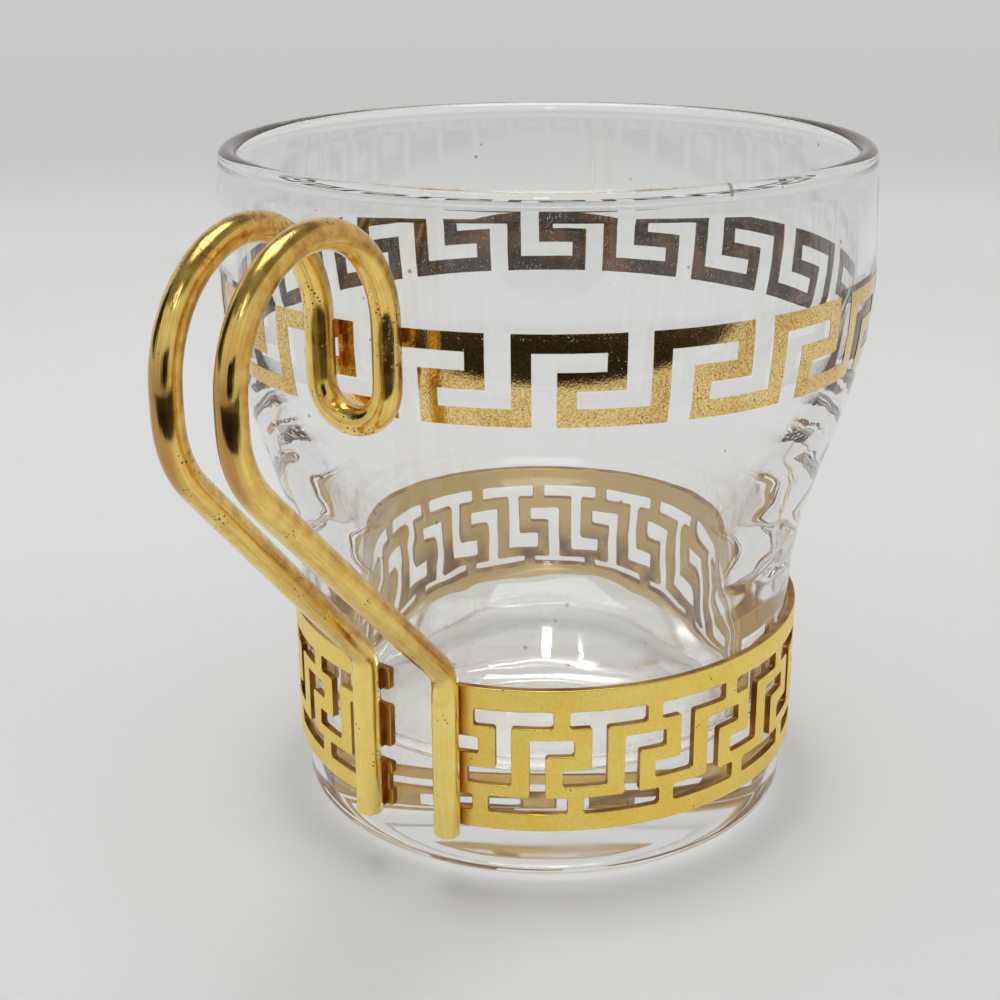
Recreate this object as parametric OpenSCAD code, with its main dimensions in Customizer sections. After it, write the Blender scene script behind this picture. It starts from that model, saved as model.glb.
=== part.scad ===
// Small glass mug in a removable metal holder.
// The glass stands on its own foot. A sprung open band with a pierced key pattern grips its
// straight lower part, and a bent wire handle is brazed to the two ends of the band.
// The origin is the centre of the foot on the table, +Z is up and the handle points along -Y.

/* [Glass] */
// Height of the glass
glass_h = 87; // [80:0.5:96]
// Largest outer diameter, just below the rim
belly_d = 83.2; // [82:0.2:85]
// How far the rim is drawn in from there on each side
rim_draw = 0.6; // [0.2:0.1:1.5]
// Height of the largest diameter
belly_z = 71; // [68:0.5:76]
// Outer diameter of the straight lower part
base_d = 66.2; // [62:0.2:68]
// Height where the straight lower part begins to flare
flare_z = 28; // [27:0.5:32]
// Wall thickness at the rim and belly
wall_t = 2.2; // [1.6:0.1:3]
// Inner diameter of the lower well, where the wall is thickest
well_d = 54; // [48:0.5:58]
// Height where the well begins to open
bore_z = 27; // [26:0.5:32]
// Height where the inner wall stands upright again
bore_top_z = 72; // [68:0.5:76]
// Thickness of the floor in the middle
floor_t = 9; // [5:0.5:12]
// Width of the floor's upturned edge
dish_w = 22.7; // [16:0.1:23]
// Height of the floor's upturned edge
dish_h = 7; // [4:0.5:9]
// Diameter of the rounded bead at the rim
bead_d = 2.5; // [2.3:0.1:3.2]
// Radius of the heel
heel_r = 2; // [1:0.25:4]
// Diameter of the hollow under the floor
hollow_d = 50; // [30:1:54]
// Depth of the hollow under the floor
hollow_h = 0.8; // [0.2:0.1:1.5]

/* [Printed key] */
// Height of the print's lower edge
print_z = 61.6; // [58:0.2:64]
// Height of the print
print_h = 10.6; // [8:0.2:12]
// Thickness of the fired gold
print_t = 0.06; // [0.04:0.01:0.12]
// Number of key turns round the glass
print_count = 17; // [14:1:20]
// Turn of the first key from the handle, in degrees
print_turn = 2; // [0:0.5:20]

/* [Holder band] */
// Height of the band
band_h = 19.1; // [17:0.1:19.5]
// Height of the band's lower edge above the table
band_z = 7.65; // [7:0.05:8]
// Thickness of the strip
band_t = 1; // [0.8:0.1:1.4]
// Clearance between the band and the glass
grip_gap = 0.08; // [0.03:0.01:0.1]
// Width of the opening between the band's two ends
band_open = 6.5; // [5:0.1:7.5]
// Length of one turn of the pierced key along the outer face
key_pitch = 11.82; // [11:0.02:12.5]
// Height of the solid rail above the pattern
top_rail = 2.9; // [2.4:0.1:3.2]
// Height of the solid rail below the pattern
bottom_rail = 2.35; // [2:0.05:2.8]
// Height of each of the four rows of slots
slot_h = 2.2; // [1.8:0.1:2.4]
// Height of the bar between the two middle rows
mid_bar = 1.9; // [1.5:0.1:2.2]

/* [Handle] */
// Wire diameter
wire_d = 3.3; // [2.6:0.1:3.4]
// Distance between the two legs, centre to centre
leg_gap = 11.4; // [10.8:0.1:12.5]
// Distance between the two sides of the loop, centre to centre
loop_gap = 8.2; // [7.8:0.1:9.6]
// Height of the legs' lower ends
leg_z = 7.1; // [5.5:0.1:7.4]
// Height of the corner where the legs bend outward
elbow_z = 28.9; // [28.5:0.1:32]
// Rise of the slanted part, in degrees from level
slant = 45.5; // [44:0.5:50]
// Distance from the mug's axis to the outermost part of the loop, to the wire's centre
reach = 69.6; // [66:0.1:71]
// Height of the top of the loop, to the wire's centre
crown_z = 84.5; // [82:0.1:86]
// Height of the lowest point of the curl, to the wire's centre
curl_z = 61.6; // [60:0.1:63]
// Gap between the curl and the glass
curl_gap = 0.45; // [0.4:0.05:1.5]
// Radius of the elbow, to the wire's centre
elbow_r = 3.6; // [3:0.1:4.5]
// Radius where the slanted part turns upright, to the wire's centre
hip_r = 11.5; // [8:0.5:13]
// Depth of the flat pressed on the front of each leg
flat_h = 0.35; // [0.1:0.05:0.6]
// Size of the chamfer on the legs' lower ends
leg_chamfer = 0.4; // [0.2:0.05:0.6]
// Length of the flat top of the loop
crown_flat = 0.4; // [0.2:0.1:2]
// How much wider the wire is where it is bent
bend_swell = 0.02; // [0.01:0.01:0.05]

/* [Brazing] */
// Thickness of the brazing between the band and the legs
braze_t = 0.15; // [0.1:0.05:0.3]
// Width of the brazing
braze_w = 2.2; // [1.6:0.1:2.4]

/* [Hidden] */
$fn = 128;

// Radii of the glass
belly_r = belly_d / 2;
rim_r = belly_r - rim_draw;
base_r = base_d / 2;
well_r = well_d / 2;
hollow_r = hollow_d / 2;
bead_r = bead_d / 2;
bead_z = glass_h - bead_r;

// Steps along the curves of the glass profile
flare_steps = 24;
corner_steps = 6;
dish_steps = 16;
neck_steps = 6;
bead_steps = 12;

// How far below the bead the inner wall reaches its own thickness, in bead diameters
neck_share = 1.2;

// The printed key: five equal rows, and in shares of the pitch the width of its strokes, the
// start of the inner upright and the end of the bar along the top
print_rows = 5;
print_pitch = 360 / print_count;
upright_share = 0.142;
drop_share = 0.322;
top_end_share = 0.814;

// The band, and the rows of its pattern from the bottom
band_in = base_r + grip_gap;
band_out = band_in + band_t;
band_top = band_z + band_h;
thin_bar = (band_h - top_rail - bottom_rail - mid_bar - 4 * slot_h) / 2;
row_z = [
    band_z + bottom_rail,
    band_z + bottom_rail + slot_h + thin_bar,
    band_z + bottom_rail + 2 * slot_h + thin_bar + mid_bar,
    band_z + bottom_rail + 3 * slot_h + 2 * thin_bar + mid_bar
];

// One opening is a long slot, a stem and a short foot slot, in shares of the pitch.
// Its partner is the same opening turned half a turn about the middle of key_span_share.
long_share = 0.83;
stem_start_share = 0.232;
stem_end_share = 0.395;
foot_start_share = -0.07;
key_span_share = 0.98;

// Where the first whole opening starts, in pitches from the band's first end
key_start_share = 0.42;

// Angles along the band, from the handle
end_turn = asin(band_open / 2 / band_out);
key_turn = key_pitch / band_out * 180 / PI;
band_turn = 360 - 2 * end_turn;
key_first = end_turn + key_start_share * key_turn;
key_last = ceil((band_turn - key_start_share * key_turn) / key_turn);

// How far the cutters of the patterns pass the faces that they cut
slot_over = 1;

// The handle's path, in the upright plane of the legs and in that of the loop
wire_r = wire_d / 2;
leg_r = band_out + braze_t + wire_r;
leg_turn = asin(leg_gap / 2 / leg_r);
leg_y = leg_r * cos(leg_turn);
curl_y = belly_r + print_t + curl_gap + wire_r;
lean = atan((leg_gap - loop_gap) / 2 / (reach - leg_y));
run = (reach - leg_y) / cos(lean);
elbow_cut = elbow_r * tan((90 - slant) / 2);
hip_cut = hip_r * tan((90 - slant) / 2);
hip_z = elbow_z + run * tan(slant);
slant_len = run / cos(slant) - elbow_cut - hip_cut;
u_r = loop_gap / 2;
u_z = curl_z + u_r;

// The loop's two arcs share its width beside the flat top, the outer one taking more
outer_share = 0.54;
arc_width = reach - curl_y - crown_flat;
outer_r = outer_share * arc_width;
inner_r = arc_width - outer_r;

// How far a straight of the wire runs into the bend at its end
wire_lap = 0.15;

// The brazing, and how finely its thin curved faces are divided
thin_fn = 256;
braze_out = band_out + braze_t + wire_r / 2;
braze_turn = braze_w / band_out * 180 / PI;

// Smooth rise from 0 to 1 as t goes from 0 to 1
function ease(t) = (1 - cos(180 * t)) / 2;

// Outer radius of the glass at a height above the heel
function outer_at(z) =
    z <= flare_z ? base_r
    : z <= belly_z ? base_r + (belly_r - base_r) * ease((z - flare_z) / (belly_z - flare_z))
    : belly_r - (belly_r - rim_r) * pow((z - belly_z) / (bead_z - belly_z), 2);

// Inner radius of the glass at a height above the dished floor
function inner_at(z) = let (
    share = min(max((z - bore_z) / (bore_top_z - bore_z), 0), 1)
) min(well_r + (belly_r - wall_t - well_r) * ease(share), outer_at(z) - wall_t);

// Heights from a to b in n equal steps
function heights(a, b, n) = [for (i = [0:n]) a + (b - a) * i / n];

// Points of an arc from angle a to angle b in n steps
function arc(x, y, r, a, b, n) =
    [for (i = [0:n]) let (t = a + (b - a) * i / n) [x + r * cos(t), y + r * sin(t)]];

// Outer wall from the heel to the bead, with points on the print's edges too, so that the
// print lies face to face on the glass
function outer_wall() = let (
    walls = merged(heights(flare_z, belly_z, flare_steps), heights(belly_z, bead_z, neck_steps))
) [for (z = merged(walls, [print_z, print_z + print_h])) [outer_at(z), z]];

// Two rising lists merged into one rising list without doubles
function merged(a, b, i = 0, j = 0) =
    i >= len(a) ? [for (k = [j:1:len(b) - 1]) b[k]]
    : j >= len(b) ? [for (k = [i:1:len(a) - 1]) a[k]]
    : abs(a[i] - b[j]) < same_z ? concat([a[i]], merged(a, b, i + 1, j + 1))
    : a[i] < b[j] ? concat([a[i]], merged(a, b, i + 1, j))
    : concat([b[j]], merged(a, b, i, j + 1));

// Two heights closer than this are one point
same_z = 0.001;

// The wall of the glass from the middle of the underside to the middle of the floor
module glass_outline() {
    neck_z = bead_z - neck_share * bead_d;
    polygon(concat(
        [for (i = [0:corner_steps]) let (t = i / corner_steps)
            [hollow_r * t, hollow_h * cos(90 * t)]],
        arc(base_r - heel_r, heel_r, heel_r, -90, 0, corner_steps),
        outer_wall(),
        [for (p = arc(rim_r - bead_r, bead_z, bead_r, 0, 180, bead_steps)) if (p[1] > bead_z + same_z) p],
        [[rim_r - bead_d, bead_z]],
        [for (z = heights(neck_z, bore_top_z, neck_steps)) [inner_at(z), z]],
        [for (z = heights(bore_top_z, bore_z, flare_steps)) if (z < bore_top_z) [inner_at(z), z]],
        [for (p = arc(0, 0, 1, 0, -90, dish_steps))
            [well_r + (p[0] - 1) * dish_w, floor_t + (1 + p[1]) * dish_h]],
        [[0, floor_t]]
    ));
}

module glass_cup() {
    color([0.85, 0.9, 0.9, 0.4])
    rotate_extrude()
    glass_outline();
}

// A block between two radii, two heights and two angles from the handle
module sector(r0, r1, z0, z1, a0, a1) {
    rotate([0, 0, a0 - 90])
    rotate_extrude(angle = a1 - a0)
    translate([r0, z0])
    square([r1 - r0, z1 - z0]);
}

// The closed ring of gold that the key is cut from, face to face on the glass
module print_ring() {
    top = print_z + print_h;
    inside = [for (p = outer_wall()) if (p[1] > print_z - same_z && p[1] < top + same_z) p];
    outside = [for (i = [len(inside) - 1:-1:0]) [inside[i][0] + print_t, inside[i][1]]];
    rotate_extrude()
    polygon(concat(inside, outside));
}

// A cutter with the given outline, x to the right and y up, that runs outward from radius r0
// to radius r1 in the direction at an angle from the handle
module cutter(turn, r0, r1) {
    rotate([0, 0, turn])
    translate([0, -r0, 0])
    rotate([90, 0, 0])
    linear_extrude(r1 - r0)
    children();
}

// A gap in the print, its outline given in shares of the pitch and in rows, about its middle
module print_gap(turn, middle, outline) {
    rise = print_h / print_rows;
    cutter(turn + middle * print_pitch, base_r, belly_r + slot_over)
    polygon([for (p = outline)
        [belly_r * sin((p[0] - middle) * print_pitch), print_z + rise * p[1]]]);
}

// The two gaps of one turn of the key, each an upright gap and a level one that meets it:
// what is left is an upright, a bar along the top, a step back and a bar along the foot
module print_gaps(turn) {
    w = upright_share;
    print_gap(turn, (drop_share + w) / 2, [
        [w, -1],
        [w, print_rows - 1],
        [top_end_share - w, print_rows - 1],
        [top_end_share - w, print_rows - 2],
        [drop_share, print_rows - 2],
        [drop_share, -1]
    ]);
    print_gap(turn, (1 + top_end_share) / 2, [
        [drop_share + w, 1],
        [drop_share + w, 2],
        [top_end_share, 2],
        [top_end_share, print_rows + 1],
        [1, print_rows + 1],
        [1, 1]
    ]);
}

module gold_key() {
    color("gold")
    difference() {
        print_ring();
        for (i = [0:print_count - 1])
            print_gaps(print_turn + i * print_pitch);
    }
}

// Outline of an opening in shares of the pitch: a long slot between its outer and inner edges,
// a stem, and a foot slot between its inner and outer edges
function opening(long_out, long_in, foot_in, foot_out) = [
    [0, long_in],
    [0, long_out],
    [long_share, long_out],
    [long_share, long_in],
    [stem_end_share, long_in],
    [stem_end_share, foot_out],
    [foot_start_share, foot_out],
    [foot_start_share, foot_in],
    [stem_start_share, foot_in],
    [stem_start_share, long_in]
];

// An opening cut through the band, kept within the turn between the band's two ends
module band_opening(turn, outline) {
    middle = turn + key_turn * (min([for (p = outline) p[0]]) + max([for (p = outline) p[0]])) / 2;
    left = band_out * sin(min(middle, 90));
    right = band_out * sin(min(360 - middle, 90));
    cutter(middle, band_in - slot_over, band_out + slot_over)
    intersection() {
        polygon([for (p = outline) [band_out * sin(turn + p[0] * key_turn - middle), p[1]]]);
        translate([-left, 0])
        square([left + right, band_top]);
    }
}

// The two openings of one turn of the pattern, the second being the first turned half a turn
module key_openings(turn) {
    band_opening(turn, opening(row_z[3] + slot_h, row_z[3], row_z[1] + slot_h, row_z[1]));
    band_opening(turn, [for (p = opening(row_z[0], row_z[0] + slot_h, row_z[2], row_z[2] + slot_h))
        [key_span_share - p[0], p[1]]]);
}

module holder_band() {
    color("goldenrod")
    difference() {
        sector(band_in, band_out, band_z, band_top, end_turn, 360 - end_turn);
        for (i = [-1:key_last])
            key_openings(key_first + i * key_turn);
    }
}

// A straight of the wire from p, at angle a from level, in the plane of the path,
// running a little way into the bends at both ends
module straight(p, a, length) {
    translate([p[0], p[1], 0])
    rotate([0, 0, a])
    rotate([0, 90, 0])
    translate([0, 0, -wire_lap])
    cylinder(d = wire_d, h = length + 2 * wire_lap);
}

// A bend of the wire about the point p, from angle a0 to angle a1
module bend(p, r, a0, a1) {
    translate([p[0], p[1], 0])
    rotate([0, 0, a0])
    rotate_extrude(angle = a1 - a0)
    translate([r, 0])
    circle(d = wire_d + bend_swell);
}

// Leg, elbow, slanted part and hip of one side, drawn with x outward from the leg and y up
module lower_path() {
    leg_len = elbow_z - elbow_cut - leg_z + wire_lap;
    translate([0, leg_z, 0])
    rotate([-90, 0, 0])
    rotate_extrude()
    polygon([
        [0, 0],
        [wire_r - leg_chamfer, 0],
        [wire_r, leg_chamfer],
        [wire_r, leg_len],
        [0, leg_len]
    ]);
    bend([elbow_r, elbow_z - elbow_cut], elbow_r, slant + 90, 180);
    straight([elbow_cut * cos(slant), elbow_z + elbow_cut * sin(slant)], slant, slant_len);
    bend([run - hip_r, hip_z + hip_cut], hip_r, slant - 90, 0);
    straight([run, hip_z + hip_cut], 90, crown_z - outer_r - hip_z - hip_cut);
}

// Loop and curl of one side, drawn with x outward from the mug's axis and y up
module upper_path() {
    bend([reach - outer_r, crown_z - outer_r], outer_r, 0, 90);
    straight([curl_y + inner_r, crown_z], 0, crown_flat);
    bend([curl_y + inner_r, crown_z - inner_r], inner_r, 90, 180);
    straight([curl_y, u_z], 90, crown_z - inner_r - u_z);
}

// One side of the handle: -1 is the left one as the handle is faced, 1 the right one
module wire_side(side) {
    difference() {
        translate([side * leg_gap / 2, -leg_y, 0])
        rotate([0, 0, -90 - side * lean])
        rotate([90, 0, 0])
        lower_path();
        translate([side * leg_gap / 2 - wire_d, -leg_y - wire_r - wire_d + flat_h, leg_z - wire_d])
        cube([2 * wire_d, wire_d, elbow_z - elbow_cut - leg_z + wire_d]);
    }
    translate([side * loop_gap / 2, 0, 0])
    rotate([0, 0, -90])
    rotate([90, 0, 0])
    upper_path();
}

module wire_handle() {
    color("gold") {
        wire_side(-1);
        wire_side(1);
        translate([0, -curl_y, u_z])
        rotate([90, 0, 0])
        bend([0, 0], u_r, 180, 360);
    }
}

// Brazing that fills the wedge between one leg and the solid parts of the band
module braze(side) {
    color("saddlebrown")
    difference() {
        sector(band_out, braze_out, band_z, band_top,
            side * leg_turn - braze_turn / 2, side * leg_turn + braze_turn / 2, $fn = thin_fn);
        translate([side * leg_gap / 2, -leg_y, leg_z])
        cylinder(d = wire_d, h = band_top);
        for (i = side < 0 ? [key_last - 1:key_last] : [-1:0])
            key_openings(key_first + i * key_turn);
    }
}

module left_braze() {
    braze(-1);
}

module right_braze() {
    braze(1);
}

glass_cup();
gold_key();
holder_band();
wire_handle();
left_braze();
right_braze();
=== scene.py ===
import math

import bmesh
import bpy
from mathutils import Matrix, Vector, noise


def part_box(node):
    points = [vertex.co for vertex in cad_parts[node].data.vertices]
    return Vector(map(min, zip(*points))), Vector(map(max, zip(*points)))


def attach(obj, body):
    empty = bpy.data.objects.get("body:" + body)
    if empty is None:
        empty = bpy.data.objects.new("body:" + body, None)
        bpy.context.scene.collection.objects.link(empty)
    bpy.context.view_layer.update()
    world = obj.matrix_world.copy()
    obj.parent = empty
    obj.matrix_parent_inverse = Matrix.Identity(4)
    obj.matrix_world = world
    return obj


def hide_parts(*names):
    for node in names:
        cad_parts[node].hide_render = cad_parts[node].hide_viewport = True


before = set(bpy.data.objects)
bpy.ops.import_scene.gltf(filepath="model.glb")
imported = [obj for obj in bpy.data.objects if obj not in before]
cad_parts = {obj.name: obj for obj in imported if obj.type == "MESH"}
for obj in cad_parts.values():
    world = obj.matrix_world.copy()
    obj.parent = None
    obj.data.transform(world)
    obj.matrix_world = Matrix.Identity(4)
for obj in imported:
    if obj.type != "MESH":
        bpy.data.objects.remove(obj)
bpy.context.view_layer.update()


# The glass: one pressed piece of clear soda glass, fire polished, with a thin wall at the belly,
# a round bead at the rim, a thick lower wall, a dished floor, and a shallow hollow under the foot.
glass_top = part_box("glass_cup")[1].z
belly_radius = 0.0416
belly_height = 0.071
rim_draw = 0.0006
base_radius = 0.0331
flare_height = 0.028
wall = 0.0022
well_radius = 0.027
bore_low = 0.027
bore_high = 0.072
floor_height = 0.009
dish_width = 0.0227
dish_height = 0.007
bead_radius = 0.00125
neck_radius = 0.00125
heel_radius = 0.002
hollow_radius = 0.025
hollow_depth = 0.0008
bead_height = glass_top - bead_radius
rim_radius = belly_radius - rim_draw


def smooth_rise(t):
    """Rises from 0 to 1 as t goes from 0 to 1, level at both ends."""
    return (1 - math.cos(math.pi * min(max(t, 0), 1))) / 2


def outer_radius(z):
    """Radius of the glass's outer wall at a height above the heel."""
    if z > belly_height:
        return belly_radius - rim_draw * ((z - belly_height) / (bead_height - belly_height)) ** 2
    share = (z - flare_height) / (belly_height - flare_height)
    return base_radius + (belly_radius - base_radius) * smooth_rise(share)


def inner_radius(z):
    """Radius of the glass's inner wall at a height above the floor."""
    share = (z - bore_low) / (bore_high - bore_low)
    opened = well_radius + (belly_radius - wall - well_radius) * smooth_rise(share)
    return min(opened, outer_radius(z) - wall)


def steps(first, last, count):
    """Values from first to last in equal steps, both ends included."""
    return [first + (last - first) * i / count for i in range(count + 1)]


def arc(x, y, radius, first, last, count):
    """Points of an arc about (x, y), between two angles in degrees."""
    angles = [math.radians(a) for a in steps(first, last, count)]
    return [(x + radius * math.cos(t), y + radius * math.sin(t)) for t in angles]


def glass_profile():
    """Radius and height of the wall, from the middle of the underside to that of the floor."""
    swell = 2 * bead_radius - wall
    hook = math.degrees(math.acos(1 - swell / (bead_radius + neck_radius)))
    neck = bead_height - (bead_radius + neck_radius) * math.sin(math.radians(hook))
    underside = [(hollow_radius * t, hollow_depth * math.cos(math.pi * t / 2))
                 for t in steps(0, 1, 24)]
    heel = arc(base_radius - heel_radius, heel_radius, heel_radius, -90, 0, 12)
    outside = [(outer_radius(z), z) for z in steps(heel_radius, bead_height, 90)]
    bead = arc(rim_radius - bead_radius, bead_height, bead_radius, 0, 180 + hook, 24)
    hollow = arc(rim_radius - wall - neck_radius, neck, neck_radius, hook, 0, 6)
    inside = [(inner_radius(z), z) for z in steps(neck, floor_height + dish_height, 90)]
    dish = [(well_radius + (x - 1) * dish_width, floor_height + (1 + y) * dish_height)
            for x, y in arc(0, 0, 1, 0, -90, 40)]
    floor = [(r, floor_height) for r in steps(well_radius - dish_width, 0, 4)]
    inner = hollow[1:] + inside[1:] + dish[1:] + floor[1:]
    return underside + heel[1:] + outside[1:] + bead[1:] + inner


def ripple(point, inward):
    """How far the plunger's and mould's faint waves move a point of the wall, in metres. They are
    strongest where the wall is thick, and most of all on its inside."""
    thick_middle, thick_spread = 0.034, 0.018
    least, more = 0.000002, 0.000022 if inward else 0.000004
    thick = math.exp(-((point.z - thick_middle) / thick_spread) ** 2)
    waves = noise.noise(point * 130 + Vector((7, 3, 1))) + 0.5 * noise.noise(point * 300)
    return waves * (least + more * thick)


def turned(name, profile, count):
    """A closed mesh turned round Z from a profile whose first and last points lie on the axis."""
    mesh = bmesh.new()
    rings = []
    inner_from = max(range(len(profile)), key=lambda i: profile[i][1])
    still_radius = 0.003
    for place, (radius, z) in enumerate(profile):
        if radius == 0:
            rings.append([mesh.verts.new((0, 0, z))])
            continue
        ring = []
        for i in range(count):
            turn = 2 * math.pi * i / count
            point = Vector((radius * math.cos(turn), radius * math.sin(turn), z))
            side = Vector((math.cos(turn), math.sin(turn), 0))
            wavy = z > heel_radius and radius > still_radius
            moved = ripple(point, place > inner_from) if wavy else 0
            ring.append(mesh.verts.new(point + side * moved))
        rings.append(ring)
    for below, above in zip(rings, rings[1:]):
        for i in range(count):
            j = (i + 1) % count
            corners = [below[i % len(below)], below[j % len(below)],
                       above[j % len(above)], above[i % len(above)]]
            mesh.faces.new(list(dict.fromkeys(corners)))
    bmesh.ops.recalc_face_normals(mesh, faces=mesh.faces)
    for face in mesh.faces:
        face.smooth = True
    data = bpy.data.meshes.new(name)
    mesh.to_mesh(data)
    mesh.free()
    piece = bpy.data.objects.new(name, data)
    bpy.context.scene.collection.objects.link(piece)
    return piece


class Socket:
    """A socket of a node tree. Sums written with it add Math nodes; node() adds any other."""

    def __init__(self, tree, socket=None):
        self.tree = tree
        self.socket = socket

    def node(self, kind, inputs=None, output=0, **settings):
        """Adds a node: its settings, then its inputs by name or place."""
        made = self.tree.nodes.new(kind)
        for name, value in settings.items():
            setattr(made, name, value)
        for key, value in (inputs or {}).items():
            if isinstance(value, Socket):
                self.tree.links.new(value.socket, made.inputs[key])
            else:
                made.inputs[key].default_value = value
        return Socket(self.tree, made.outputs[output]) if made.outputs else None

    def sibling(self, name):
        """Another output of the node that this socket is on."""
        return Socket(self.tree, self.socket.node.outputs[name])

    def sum(self, operation, *values):
        """A Math node on the given values."""
        return self.node("ShaderNodeMath", dict(enumerate(values)), operation=operation)

    def vector(self, operation, *values, output=0):
        """A Vector Math node on the given values."""
        return self.node("ShaderNodeVectorMath", dict(enumerate(values)), output,
                         operation=operation)

    def colour(self, low, high):
        """The colour low where this value is 0, and high where it is 1."""
        ends = [c if isinstance(c, Socket) else (*c, 1) for c in (low, high)]
        return self.node("ShaderNodeMix", {0: self, 6: ends[0], 7: ends[1]}, 2,
                         data_type="RGBA")

    def band(self, low, high):
        """0 below low, 1 above high, and a smooth rise between. Low may be the larger."""
        inputs = {"Value": self, "From Min": low, "From Max": high}
        return self.node("ShaderNodeMapRange", inputs, interpolation_type="SMOOTHSTEP")

    def __add__(self, other):
        return self.sum("ADD", self, other)

    def __sub__(self, other):
        return self.sum("SUBTRACT", self, other)

    def __mul__(self, other):
        return self.sum("MULTIPLY", self, other)

    def __truediv__(self, other):
        return self.sum("DIVIDE", self, other)

    def __rtruediv__(self, other):
        return self.sum("DIVIDE", other, self)

    def __radd__(self, other):
        return self.sum("ADD", other, self)

    def __rsub__(self, other):
        return self.sum("SUBTRACT", other, self)

    def __rmul__(self, other):
        return self.sum("MULTIPLY", other, self)

    def __abs__(self):
        return self.sum("ABSOLUTE", self)


def new_material(name):
    """An empty material and a Socket that adds nodes to it."""
    material = bpy.data.materials.new(name)
    material.use_nodes = True
    material.node_tree.nodes.clear()
    return material, Socket(material.node_tree)


def clear_glass():
    """Clear soda glass with faint smears, a few specks of dust, and a floor that is a little dull
    and crumbed from use. Lamps shine through it."""
    material, add = new_material("clear_glass")
    place = add.node("ShaderNodeTexCoord", output="Object")
    smear = add.node("ShaderNodeTexNoise", {"Vector": place, "Scale": 60, "Detail": 5})
    speck = add.node("ShaderNodeTexVoronoi", {"Vector": place, "Scale": 260}, "Distance")
    rare = add.node("ShaderNodeTexNoise", {"Vector": place, "Scale": 90, "Detail": 1})
    rise = add.node("ShaderNodeSeparateXYZ", {0: place}, "Z")
    from_axis = add.vector("LENGTH", add.vector("MULTIPLY", place, (1, 1, 0)), output="Value")
    above_foot = rise.band(floor_height - 0.005, floor_height - 0.003)
    dish_top = floor_height + dish_height
    in_dish = rise.band(dish_top + 0.0015, dish_top - 0.0005) * from_axis.band(0.0245, 0.0225)
    dish = above_foot * in_dish
    crumb = add.node("ShaderNodeTexVoronoi", {"Vector": place, "Scale": 700}, "Distance")
    crumbs = dish * crumb.band(0.13, 0.08) * rare.band(0.48, 0.56)
    dust = add.sum("MAXIMUM", speck.band(0.085, 0.05) * rare.band(0.6, 0.63), crumbs)
    dulled = dish * (0.07 + 0.08 * smear.band(0.4, 0.65))
    waves = add.node("ShaderNodeTexNoise", {"Vector": place, "Scale": 110, "Detail": 2})
    relief = add.node("ShaderNodeBump", {"Height": waves, "Strength": 0.3, "Distance": 0.00003})
    glass = add.node("ShaderNodeBsdfPrincipled", {
        "Base Color": dust.colour((0.985, 0.99, 0.982), (0.22, 0.2, 0.18)),
        "Roughness": smear.band(0.62, 0.8) * 0.04 + dulled,
        "IOR": 1.52,
        "Transmission Weight": 1.0,
        "Normal": relief,
    })
    lamp = add.node("ShaderNodeLightPath", output="Is Shadow Ray")
    passing = add.node("ShaderNodeBsdfTransparent", {"Color": (0.98, 0.985, 0.98, 1)})
    mixed = add.node("ShaderNodeMixShader", {0: lamp, 1: glass, 2: passing})
    add.node("ShaderNodeOutputMaterial", {"Surface": mixed})
    return material


glass = turned("glass", glass_profile(), 256)
glass.data.materials.append(clear_glass())
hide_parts("glass_cup")
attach(glass, "glass")


# The printed key: bright gold fired on to the outside of the belly, one line that runs round it
# as a key of 17 turns. It is a little worn. Its underside, seen through the glass, is brown.
turns = 17
first_turn = math.radians(2)
key_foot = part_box("gold_key")[0].z
key_rows = 5
row_height = (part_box("gold_key")[1].z - key_foot) / key_rows
gold_thickness = 0.00006
gold_sunk = 0.00004
upright_share = 0.142
drop_share = 0.322
top_end_share = 0.814
key_rag = 0.00008


def key_gaps():
    """The bare places of one turn: first and last share of the turn, first and last row."""
    w = upright_share
    return [
        (w, drop_share, 0, key_rows - 1),
        (drop_share, top_end_share - w, key_rows - 2, key_rows - 1),
        (drop_share + w, top_end_share, 1, 2),
        (top_end_share, 1, 1, key_rows),
    ]


def divided(edges, longest):
    """The given edges with equal steps between them, none longer than longest."""
    places = []
    for first, last in zip(edges, edges[1:]):
        places += steps(first, last, math.ceil((last - first) / longest))[:-1]
    return places + [edges[-1]]


def key_turn_sheet():
    """One turn of the key, flat: x in shares of a turn, z in metres above the print's foot."""
    shares = sorted({0, 1, *[share for gap in key_gaps() for share in gap[:2]],
                     drop_share + upright_share})
    across = divided(shares, 0.03)
    up = divided([row * row_height for row in range(key_rows + 1)], 0.00045)
    sheet = bmesh.new()
    corners = {}
    for x0, x1 in zip(across, across[1:]):
        for z0, z1 in zip(up, up[1:]):
            x, row = (x0 + x1) / 2, (z0 + z1) / 2 / row_height
            if any(a < x < b and low < row < high for a, b, low, high in key_gaps()):
                continue
            square = [(x0, z0), (x1, z0), (x1, z1), (x0, z1)]
            for corner in square:
                if corner not in corners:
                    corners[corner] = sheet.verts.new((corner[0], 0, corner[1]))
            sheet.faces.new([corners[corner] for corner in square])
    data = bpy.data.meshes.new("key turn")
    sheet.to_mesh(data)
    sheet.free()
    return data


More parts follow.
